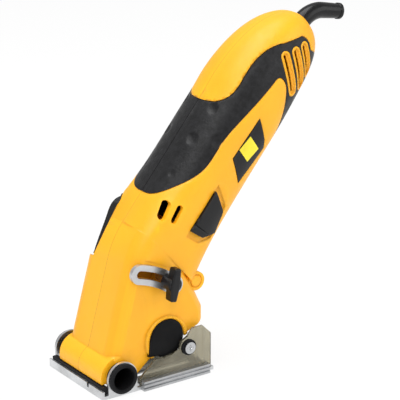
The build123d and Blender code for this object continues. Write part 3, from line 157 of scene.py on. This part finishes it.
class Finish:
    """Node material with a principled shader that is fed step by step."""

    def __init__(self, name, roughness=0.5, metallic=0.0):
        self.material = bpy.data.materials.new(name)
        self.material.use_nodes = True
        self.tree = self.material.node_tree
        self.shader = self.tree.nodes["Principled BSDF"]
        self.set("Roughness", roughness)
        self.set("Metallic", metallic)
        self.place = self.add("ShaderNodeTexCoord").outputs["Object"]

    def set(self, socket, value):
        """Put a constant on one of the shader's sockets."""
        self.shader.inputs[socket].default_value = value

    def feed(self, socket, source):
        """Link a value to one of the shader's sockets."""
        self.link(source, self.shader.inputs[socket])

    def add(self, kind, **settings):
        """New node with its settings."""
        node = self.tree.nodes.new(kind)
        for key, value in settings.items():
            setattr(node, key, value)
        return node

    def link(self, source, target):
        """Join two sockets."""
        self.tree.links.new(source, target)

    def noise(self, scale, detail=4.0, rough=0.55, stretch=None):
        """Noise over the piece, in metres, stretched where asked."""
        node = self.add("ShaderNodeTexNoise")
        node.inputs["Scale"].default_value = scale
        node.inputs["Detail"].default_value = detail
        node.inputs["Roughness"].default_value = rough
        place = self.place
        if stretch:
            mapping = self.add("ShaderNodeMapping")
            mapping.inputs["Scale"].default_value = stretch
            self.link(place, mapping.inputs["Vector"])
            place = mapping.outputs["Vector"]
        self.link(place, node.inputs["Vector"])
        return node.outputs["Fac"]

    def tint(self, value, colour, dark, light, low=NOISE_LOW, high=NOISE_HIGH):
        """Ramp over a value from a darker to a lighter shade of a colour."""
        node = self.add("ShaderNodeValToRGB")
        first, last = node.color_ramp.elements
        first.position, first.color = low, shade(colour, dark)
        last.position, last.color = high, shade(colour, light)
        self.link(value, node.inputs["Fac"])
        return node.outputs["Color"]

    def rescale(self, value, low, high, to_low=0.0, to_high=1.0):
        """Map one range of a value to another."""
        node = self.add("ShaderNodeMapRange")
        node.inputs["From Min"].default_value = low
        node.inputs["From Max"].default_value = high
        node.inputs["To Min"].default_value = to_low
        node.inputs["To Max"].default_value = to_high
        self.link(value, node.inputs["Value"])
        return node.outputs["Result"]

    def spread(self, value, low, high):
        """Map a noise to a range."""
        return self.rescale(value, NOISE_LOW, NOISE_HIGH, low, high)

    def edges(self, low, high):
        """Value that rises on convex edges."""
        point = self.add("ShaderNodeNewGeometry").outputs["Pointiness"]
        return self.rescale(point, low, high)

    def middle_line(self, width):
        """Value that falls to 0 on the plane where the two halves meet."""
        split = self.add("ShaderNodeSeparateXYZ")
        self.link(self.place, split.inputs["Vector"])
        size = self.add("ShaderNodeMath", operation="ABSOLUTE")
        self.link(split.outputs["Y"], size.inputs[0])
        return self.rescale(size.outputs["Value"], width / 4, width / 2)

    def mix(self, share, first, second):
        """Mix two colours, each a constant or a socket, by a value."""
        node = self.add("ShaderNodeMix", data_type="RGBA")
        self.link(share, node.inputs["Factor"])
        first_socket, second_socket = node.inputs[6], node.inputs[7]
        for value, socket in ((first, first_socket), (second, second_socket)):
            if hasattr(value, "is_output"):
                self.link(value, socket)
            else:
                socket.default_value = value
        return node.outputs[2]

    def bump(self, value, strength, distance):
        """Feed a bump to the shader's normal."""
        node = self.add("ShaderNodeBump")
        node.inputs["Strength"].default_value = strength
        node.inputs["Distance"].default_value = distance
        self.link(value, node.inputs["Height"])
        self.feed("Normal", node.outputs["Normal"])


def yellow_finish(colours):
    """Satin moulded plastic with a fine spark texture, a painted highlight on its convex edges and a dark
    parting line.
    """
    finish = Finish("yellow_moulding", roughness=0.42)
    base = finish.tint(finish.noise(22, 3), colours.yellow, 0.94, 1.05)
    # Painted highlight: convex edges are mixed towards a lighter yellow.
    painted_edge_highlight = finish.mix(finish.edges(0.52, 0.62), base, shade(colours.yellow, 1.12))
    seam = finish.mix(finish.middle_line(colours.parting_line), shade(colours.yellow, 0.45), painted_edge_highlight)
    finish.feed("Base Color", seam)
    finish.feed("Roughness", finish.spread(finish.noise(160, 4), 0.36, 0.5))
    finish.bump(finish.noise(2600, 2), 0.06, 0.0004)
    finish.set("Specular IOR Level", 0.4)
    finish.set("Subsurface Weight", 0.04)
    return finish.material


def grip_finish(colours):
    """Soft overmould with a pebbled, leather-like grain."""
    finish = Finish("soft_overmould", roughness=0.6)
    mottle = finish.noise(260, 5, 0.65)
    finish.feed("Base Color", finish.tint(mottle, colours.soft_black, 0.5, 2.0, low=0.35, high=0.68))
    finish.feed("Roughness", finish.spread(finish.noise(150, 4), 0.32, 0.56))
    finish.bump(finish.noise(620, 5, 0.65), 0.4, 0.0006)
    finish.set("Specular IOR Level", 0.3)
    finish.set("Sheen Weight", 0.05)
    finish.set("Sheen Roughness", 0.45)
    return finish.material


def black_finish(colours, name, roughness, gloss=0.25):
    """Hard black moulding with a fine grain and a painted highlight on its convex edges."""
    finish = Finish(name, roughness=roughness)
    base = finish.tint(finish.noise(60, 3), colours.hard_black, 0.75, 1.4)
    # Painted highlight: convex edges are mixed towards a much lighter black.
    painted_edge_highlight = finish.mix(finish.edges(0.53, 0.66), base, shade(colours.hard_black, 3.2))
    finish.feed("Base Color", painted_edge_highlight)
    finish.feed("Roughness", finish.spread(finish.noise(240, 3), roughness - 0.07, roughness + 0.09))
    finish.bump(finish.noise(2200, 2), 0.1, 0.0004)
    finish.set("Specular IOR Level", gloss)
    return finish.material


def metal_finish(name, colour, roughness, streaks, metallic=1.0):
    """Metal or paint with fine scratches and dull patches."""
    finish = Finish(name, roughness=roughness, metallic=metallic)
    scratch = finish.noise(900, 3, 0.6, streaks)
    finish.feed("Base Color", finish.tint(finish.noise(55, 4), colour, 0.8, 1.12))
    finish.feed("Roughness", finish.spread(scratch, roughness - 0.1, roughness + 0.14))
    finish.bump(scratch, 0.12, 0.0003)
    return finish.material


def smoke_finish(colours):
    """Smoked clear plastic with faint haze and scratches."""
    finish = Finish("smoked_clear", roughness=0.14)
    finish.feed("Base Color", finish.tint(finish.noise(70, 4), colours.smoke, 0.9, 1.1))
    finish.feed("Roughness", finish.spread(finish.noise(300, 3), 0.1, 0.24))
    finish.bump(finish.noise(500, 2, 0.5, GUARD_STREAKS), 0.05, 0.0003)
    finish.set("Transmission Weight", 0.85)
    finish.set("IOR", 1.35)
    return finish.material


def copper_finish(colours):
    """Varnished copper wire laid side by side."""
    finish = Finish("winding_wire", roughness=0.35, metallic=0.9)
    strands = finish.noise(1400, 2, 0.5, WIRE_STREAKS)
    finish.feed("Base Color", finish.tint(strands, colours.copper, 0.6, 1.25))
    finish.feed("Roughness", finish.spread(strands, 0.28, 0.5))
    finish.bump(strands, 0.4, 0.0004)
    return finish.material


def coat(nodes, material):
    """Put a material on CAD nodes that stay as they are."""
    for node in nodes:
        mesh = frame["nodes"][node].data
        mesh.materials.clear()
        mesh.materials.append(material)


def smooth_mesh(node, material):
    """Copy of a node's mesh, welded and smooth shaded between its sharp edges."""
    mesh = frame["nodes"][node].data.copy()
    mesh.name = node + "_smooth"
    work = bmesh.new()
    work.from_mesh(mesh)
    bmesh.ops.remove_doubles(work, verts=work.verts, dist=WELD_DISTANCE)
    work.to_mesh(mesh)
    work.free()
    mesh.polygons.foreach_set("use_smooth", [True] * len(mesh.polygons))
    mesh.set_sharp_from_angle(angle=SMOOTH_ANGLE)
    mesh.materials.clear()
    mesh.materials.append(material)
    return mesh


def smooth_copies(nodes, material):
    """Smooth shaded stand-ins for CAD nodes, with the same shapes."""
    for node in nodes:
        piece = bpy.data.objects.new(node + "_smooth", smooth_mesh(node, material))
        bpy.context.scene.collection.objects.link(piece)
        normals = piece.modifiers.new("even_normals", "WEIGHTED_NORMAL")
        normals.keep_sharp = True
        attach(piece, body_of_node(node))
        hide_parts(node)


class SawOperator:
    """Shared settings of the saw's operators."""

    bl_options = {"REGISTER", "UNDO"}


class SAW_OT_housing(SawOperator, bpy.types.Operator):
    """Finish the two yellow housing halves and the painted depth link"""

    bl_idname = "saw.housing"
    bl_label = "Housing halves"

    def execute(self, context):
        colours = context.scene.saw_colours
        smooth_copies(YELLOW_NODES, yellow_finish(colours))
        smooth_copies(PAINTED_NODES, metal_finish("yellow_paint", colours.yellow, 0.4, EVEN, metallic=0.0))
        return {"FINISHED"}


class SAW_OT_grips(SawOperator, bpy.types.Operator):
    """Finish the soft grips"""

    bl_idname = "saw.grips"
    bl_label = "Soft grips"

    def execute(self, context):
        smooth_copies(GRIP_NODES, grip_finish(context.scene.saw_colours))
        return {"FINISHED"}


class SAW_OT_controls(SawOperator, bpy.types.Operator):
    """Finish the knob, switch, lock lever, covers, cord sleeve and badge"""

    bl_idname = "saw.controls"
    bl_label = "Controls"

    def execute(self, context):
        colours = context.scene.saw_colours
        smooth_copies(CONTROL_NODES, black_finish(colours, "control_moulding", 0.4, 0.34))
        smooth_copies(COVER_NODES, black_finish(colours, "cover_moulding", 0.5, 0.12))
        smooth_copies(("cord_sleeve",), black_finish(colours, "sleeve_rubber", 0.24, 0.3))
        smooth_copies(("badge",), black_finish(colours, "badge_plate", 0.3, 0.35))
        smooth_copies(("badge_panel",), metal_finish("badge_field", colours.lemon, 0.35, EVEN, metallic=0.0))
        return {"FINISHED"}


class SAW_OT_base(SawOperator, bpy.types.Operator):
    """Finish the sole, ears, arm, rails, guards and screws"""

    bl_idname = "saw.base"
    bl_label = "Base"

    def execute(self, context):
        colours = context.scene.saw_colours
        smooth_copies(STEEL_NODES, metal_finish("sole_steel", colours.steel, 0.34, SOLE_STREAKS))
        smooth_copies(RAIL_NODES, metal_finish("rail_metal", colours.rail, 0.42, RAIL_STREAKS))
        smooth_copies(GUARD_NODES, smoke_finish(colours))
        smooth_copies(SCREW_NODES, metal_finish("plated_screw", shade(colours.steel, 0.85), 0.26, EVEN))
        return {"FINISHED"}


class SAW_OT_drive(SawOperator, bpy.types.Operator):
    """Finish the blade, gears and motor"""

    bl_idname = "saw.drive"
    bl_label = "Drive"

    def execute(self, context):
        colours = context.scene.saw_colours
        bright, dull = shade(colours.steel, 1.15), shade(colours.steel, 0.7)
        smooth_copies(BLADE_NODES, metal_finish("blade_steel", bright, 0.28, BLADE_STREAKS))
        coat(GEAR_NODES, metal_finish("gear_steel", dull, 0.38, EVEN))
        coat(CAST_NODES, metal_finish("cast_alloy", shade(colours.rail, 1.1), 0.5, EVEN))
        coat(COPPER_NODES, copper_finish(colours))
        coat(HIDDEN_BLACK_NODES, black_finish(colours, "inner_moulding", 0.5))
        return {"FINISHED"}


def point_at(holder, aim):
    """Turn a lamp or a camera to look at a point."""
    holder.rotation_euler = (Vector(aim) - holder.location).to_track_quat("-Z", "Y").to_euler()


def area_lamp(scene, name, place, size, power):
    """Soft studio lamp."""
    lamp = bpy.data.lights.new(name, "AREA")
    lamp.shape = "RECTANGLE"
    lamp.size, lamp.size_y = size
    lamp.energy = power
    holder = bpy.data.objects.new(name, lamp)
    holder.location = place
    point_at(holder, LAMP_AIM)
    scene.collection.objects.link(holder)


def larger(tree, first, second):
    """The larger of two values."""
    node = tree.nodes.new("ShaderNodeMath")
    node.operation = "MAXIMUM"
    tree.links.new(first, node.inputs[0])
    tree.links.new(second, node.inputs[1])
    return node.outputs["Value"]


def direct_look(tree, share):
    """Value that is a share where the camera, a reflection or a clear part looks at a surface, and else 0."""
    path = tree.nodes.new("ShaderNodeLightPath").outputs
    seen = larger(tree, path["Is Camera Ray"], path["Is Glossy Ray"])
    seen = larger(tree, seen, path["Is Transmission Ray"])
    scaled = tree.nodes.new("ShaderNodeMath")
    scaled.operation = "MULTIPLY"
    scaled.inputs[1].default_value = share
    tree.links.new(seen, scaled.inputs[0])
    return scaled.outputs["Value"]


def mix_surface(tree, share, first, second, output_kind):
    """Mix two shaders into a new output."""
    mixed = tree.nodes.new("ShaderNodeMixShader")
    tree.links.new(share, mixed.inputs["Fac"])
    tree.links.new(first, mixed.inputs[1])
    tree.links.new(second, mixed.inputs[2])
    output = tree.nodes.new(output_kind)
    tree.links.new(mixed.outputs["Shader"], output.inputs["Surface"])


def floor_paper():
    """Pale paper that shows white but keeps the saw's shadow."""
    material = bpy.data.materials.new("floor_paper")
    material.use_nodes = True
    tree = material.node_tree
    tree.nodes.clear()
    diffuse = tree.nodes.new("ShaderNodeBsdfDiffuse")
    diffuse.inputs["Color"].default_value = FLOOR_GREY
    white = tree.nodes.new("ShaderNodeEmission")
    white.inputs["Strength"].default_value = 1.0
    share = direct_look(tree, FLOOR_WHITE_SHARE)
    mix_surface(tree, share, diffuse.outputs["BSDF"], white.outputs["Emission"], "ShaderNodeOutputMaterial")
    return material


class SAW_OT_stage(SawOperator, bpy.types.Operator):
    """Set the pale floor, the studio light and the photograph's camera"""

    bl_idname = "saw.stage"
    bl_label = "Stage"

    def execute(self, context):
        scene = context.scene
        scene.view_settings.view_transform = "Standard"
        self.floor(scene)
        self.world(scene)
        for lamp in LAMPS:
            area_lamp(scene, *lamp)
        self.camera(scene, scene.saw_view)
        return {"FINISHED"}

    def floor(self, scene):
        """Wide floor just under the sole."""
        half = FLOOR_HALF
        corners = [(-half, -half, 0), (half, -half, 0), (half, half, 0), (-half, half, 0)]
        mesh = bpy.data.meshes.new("floor")
        mesh.from_pydata(corners, [], [(0, 1, 2, 3)])
        mesh.materials.append(floor_paper())
        floor = bpy.data.objects.new("floor", mesh)
        floor.location.z = -FLOOR_DROP
        scene.collection.objects.link(floor)

    def world(self, scene):
        """Even room light that the camera sees as white."""
        world = bpy.data.worlds.new("studio")
        world.use_nodes = True
        scene.world = world
        tree = world.node_tree
        tree.nodes.clear()
        soft = tree.nodes.new("ShaderNodeBackground")
        soft.inputs["Color"].default_value = WHITE
        soft.inputs["Strength"].default_value = ROOM_LIGHT
        white = tree.nodes.new("ShaderNodeBackground")
        white.inputs["Color"].default_value = WHITE
        path = tree.nodes.new("ShaderNodeLightPath")
        mix_surface(tree, path.outputs["Is Camera Ray"], soft.outputs["Background"],
                    white.outputs["Background"], "ShaderNodeOutputWorld")

    def camera(self, scene, view):
        """Camera at the photograph's angle."""
        lens = bpy.data.cameras.new("photo_camera")
        lens.lens = view.lens
        lens.sensor_width = SENSOR_WIDTH
        lens.clip_end = VIEW_DEPTH
        level, height = math.cos(view.elevation), math.sin(view.elevation)
        back = Vector((math.sin(view.azimuth) * level, -math.cos(view.azimuth) * level, height))
        camera = bpy.data.objects.new("photo_camera", lens)
        camera.location = Vector(view.aim) + back * view.distance
        point_at(camera, view.aim)
        scene.collection.objects.link(camera)
        scene.camera = camera


class SAW_PT_panel(bpy.types.Panel):
    """Sidebar panel with the saw's steps"""

    bl_idname = "SAW_PT_panel"
    bl_label = "Mini circular saw"
    bl_space_type = "VIEW_3D"
    bl_region_type = "UI"
    bl_category = "Saw"

    def draw(self, context):
        for operator in OPERATORS:
            self.layout.operator(operator.bl_idname)
        for name in SawColours.__annotations__:
            self.layout.prop(context.scene.saw_colours, name)
        for name in SawView.__annotations__:
            self.layout.prop(context.scene.saw_view, name)


OPERATORS = (SAW_OT_housing, SAW_OT_grips, SAW_OT_controls, SAW_OT_base, SAW_OT_drive, SAW_OT_stage)
CLASSES = (SawColours, SawView) + OPERATORS + (SAW_PT_panel,)


def register():
    """Add the classes and the scene's settings."""
    for cls in CLASSES:
        bpy.utils.register_class(cls)
    bpy.types.Scene.saw_colours = bpy.props.PointerProperty(type=SawColours)
    bpy.types.Scene.saw_view = bpy.props.PointerProperty(type=SawView)


def unregister():
    """Remove the classes and the scene's settings."""
    del bpy.types.Scene.saw_view
    del bpy.types.Scene.saw_colours
    for cls in reversed(CLASSES):
        bpy.utils.unregister_class(cls)


def main():
    """Dress the saw step by step."""
    register()
    bpy.ops.saw.housing()
    bpy.ops.saw.grips()
    bpy.ops.saw.controls()
    bpy.ops.saw.base()
    bpy.ops.saw.drive()
    bpy.ops.saw.stage()


if __name__ == "__main__":
    main()
